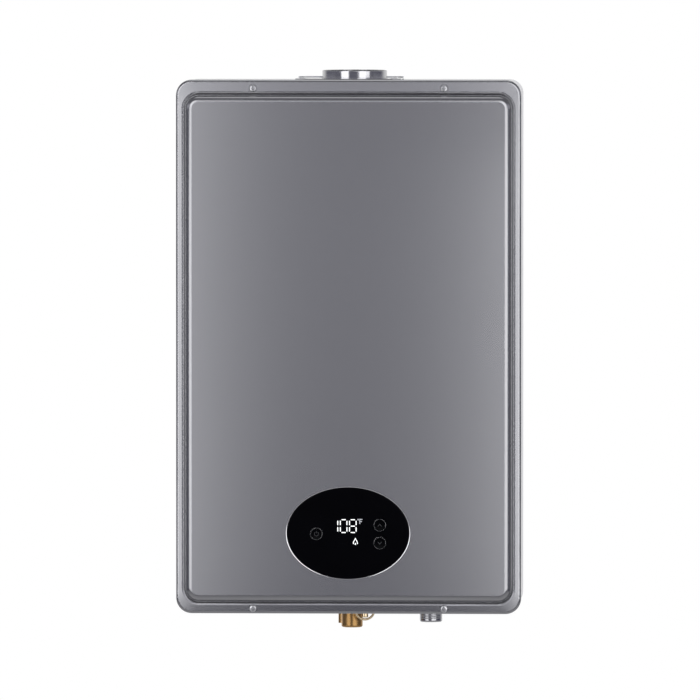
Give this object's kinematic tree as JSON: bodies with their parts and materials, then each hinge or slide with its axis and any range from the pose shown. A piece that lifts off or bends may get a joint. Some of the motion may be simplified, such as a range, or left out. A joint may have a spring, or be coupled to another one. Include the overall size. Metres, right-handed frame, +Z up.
{
  "type": "tankless water heater",
  "caption": "Wall-hung tankless gas water heater: pressed steel cover with oval display and push buttons, flue collar above, pipe fittings below.",
  "frame": {"origin": "midpoint between the wall bracket's two bolt holes, on the wall plane", "axes": "+X right as seen from the front, +Y into the wall, +Z up towards the flue"},
  "size_m": [0.388, 0.1587, 0.6288],
  "materials": {
    "brushed_stainless": "vertically brushed, satin",
    "case_sheet": "pale coated sheet steel",
    "galvanised": "galvanised, slightly mottled",
    "collar_steel": "drawn steel, bright",
    "screw_steel": "zinc plated",
    "lens_black": "gloss black acrylic",
    "button_black": "gloss black",
    "housing_plastic": "matt black moulding",
    "digit_light": "lit segments on black",
    "circuit_green": "solder mask",
    "seal_rubber": "soft rubber",
    "gasket_grey": "foam seal",
    "copper": "drawn copper",
    "brass": "machined brass",
    "fitting_steel": "zinc-plated steel thread",
    "cast_alloy": "cast",
    "coil_black": "moulded coil",
    "ceramic": "glazed ceramic",
    "box_plastic": "moulded, off-white",
    "laminated_steel": "laminated core",
    "potted_black": "potted box",
    "bracket_steel": "galvanised strip"
  },
  "bodies": {
    "heater": {"rear_case": "case_sheet", "case_top": "case_sheet", "front_cover": "brushed_stainless", "cover_gasket": "gasket_grey", "cover_screws": "screw_steel", "display_lens": "lens_black", "display_housing": "housing_plastic", "display_board": "circuit_green", "display_digits": "digit_light", "display_housing_screws": "screw_steel", "button_switches": "coil_black", "flue_gasket": "gasket_grey", "flue_plate": "galvanised", "flue_collar": "collar_steel", "flue_plate_screws": "screw_steel", "exhaust_hood": "galvanised", "fan_housing": "galvanised", "fan_motor": "cast_alloy", "fan_screws": "screw_steel", "heat_exchanger_shell": "copper", "heat_exchanger_fins": "copper", "heat_exchanger_tube": "copper", "combustion_chamber": "copper", "burner_box": "galvanised", "burner_bars": "fitting_steel", "gas_manifold": "cast_alloy", "gas_nozzles": "brass", "ignition_electrodes": "ceramic", "flame_sensor": "ceramic", "gas_inlet_fitting": "fitting_steel", "gas_valve_body": "cast_alloy", "gas_valve_coils": "coil_black", "gas_pipe": "fitting_steel", "water_inlet_fitting": "brass", "inlet_filter": "screw_steel", "flow_sensor_body": "coil_black", "cold_water_pipe": "copper", "hot_water_pipe": "copper", "hot_outlet_fitting": "brass", "temperature_sensor": "screw_steel", "overheat_switch": "ceramic", "air_pressure_switch": "box_plastic", "control_box": "box_plastic", "control_board": "circuit_green", "transformer": "laminated_steel", "igniter_module": "potted_black", "cable_gland": "coil_black", "chassis_brackets": "bracket_steel", "chassis_straps": "bracket_steel", "wall_bracket": "bracket_steel", "case_hanger": "bracket_steel", "wall_bumpers": "seal_rubber"},
    "power_button": {"power_button": "button_black"},
    "raise_button": {"raise_button": "button_black"},
    "lower_button": {"lower_button": "button_black"},
    "fan": {"fan_wheel": "galvanised", "fan_shaft": "fitting_steel"},
    "flow_rotor": {"flow_sensor_rotor": "box_plastic"},
    "drain": {"drain_plug": "brass", "drain_plug_seal": "seal_rubber"}
  },
  "joints": [
    {"name": "power_button_press", "type": "slide", "parent": "heater", "child": "power_button", "axis": [0, 1, 0], "range_m": [0, 0.0008], "stiffness_N_per_m": 900},
    {"name": "raise_button_press", "type": "slide", "parent": "heater", "child": "raise_button", "axis": [0, 1, 0], "range_m": [0, 0.0008], "stiffness_N_per_m": 900},
    {"name": "lower_button_press", "type": "slide", "parent": "heater", "child": "lower_button", "axis": [0, 1, 0], "range_m": [0, 0.0008], "stiffness_N_per_m": 900},
    {"name": "fan_spin", "type": "hinge", "parent": "heater", "child": "fan", "pos_m": [-0.038, -0.072, -0.041], "axis": [0, 1, 0], "continuous": true},
    {"name": "flow_rotor_spin", "type": "hinge", "parent": "heater", "child": "flow_rotor", "pos_m": [0.0007, -0.074, -0.546], "axis": [0, 0, 1], "continuous": true},
    {"name": "drain_turn", "type": "hinge", "parent": "heater", "child": "drain", "pos_m": [0.0161, -0.093, -0.546], "axis": [0, 0, -1], "range_deg": [0, 270]}
  ]
}
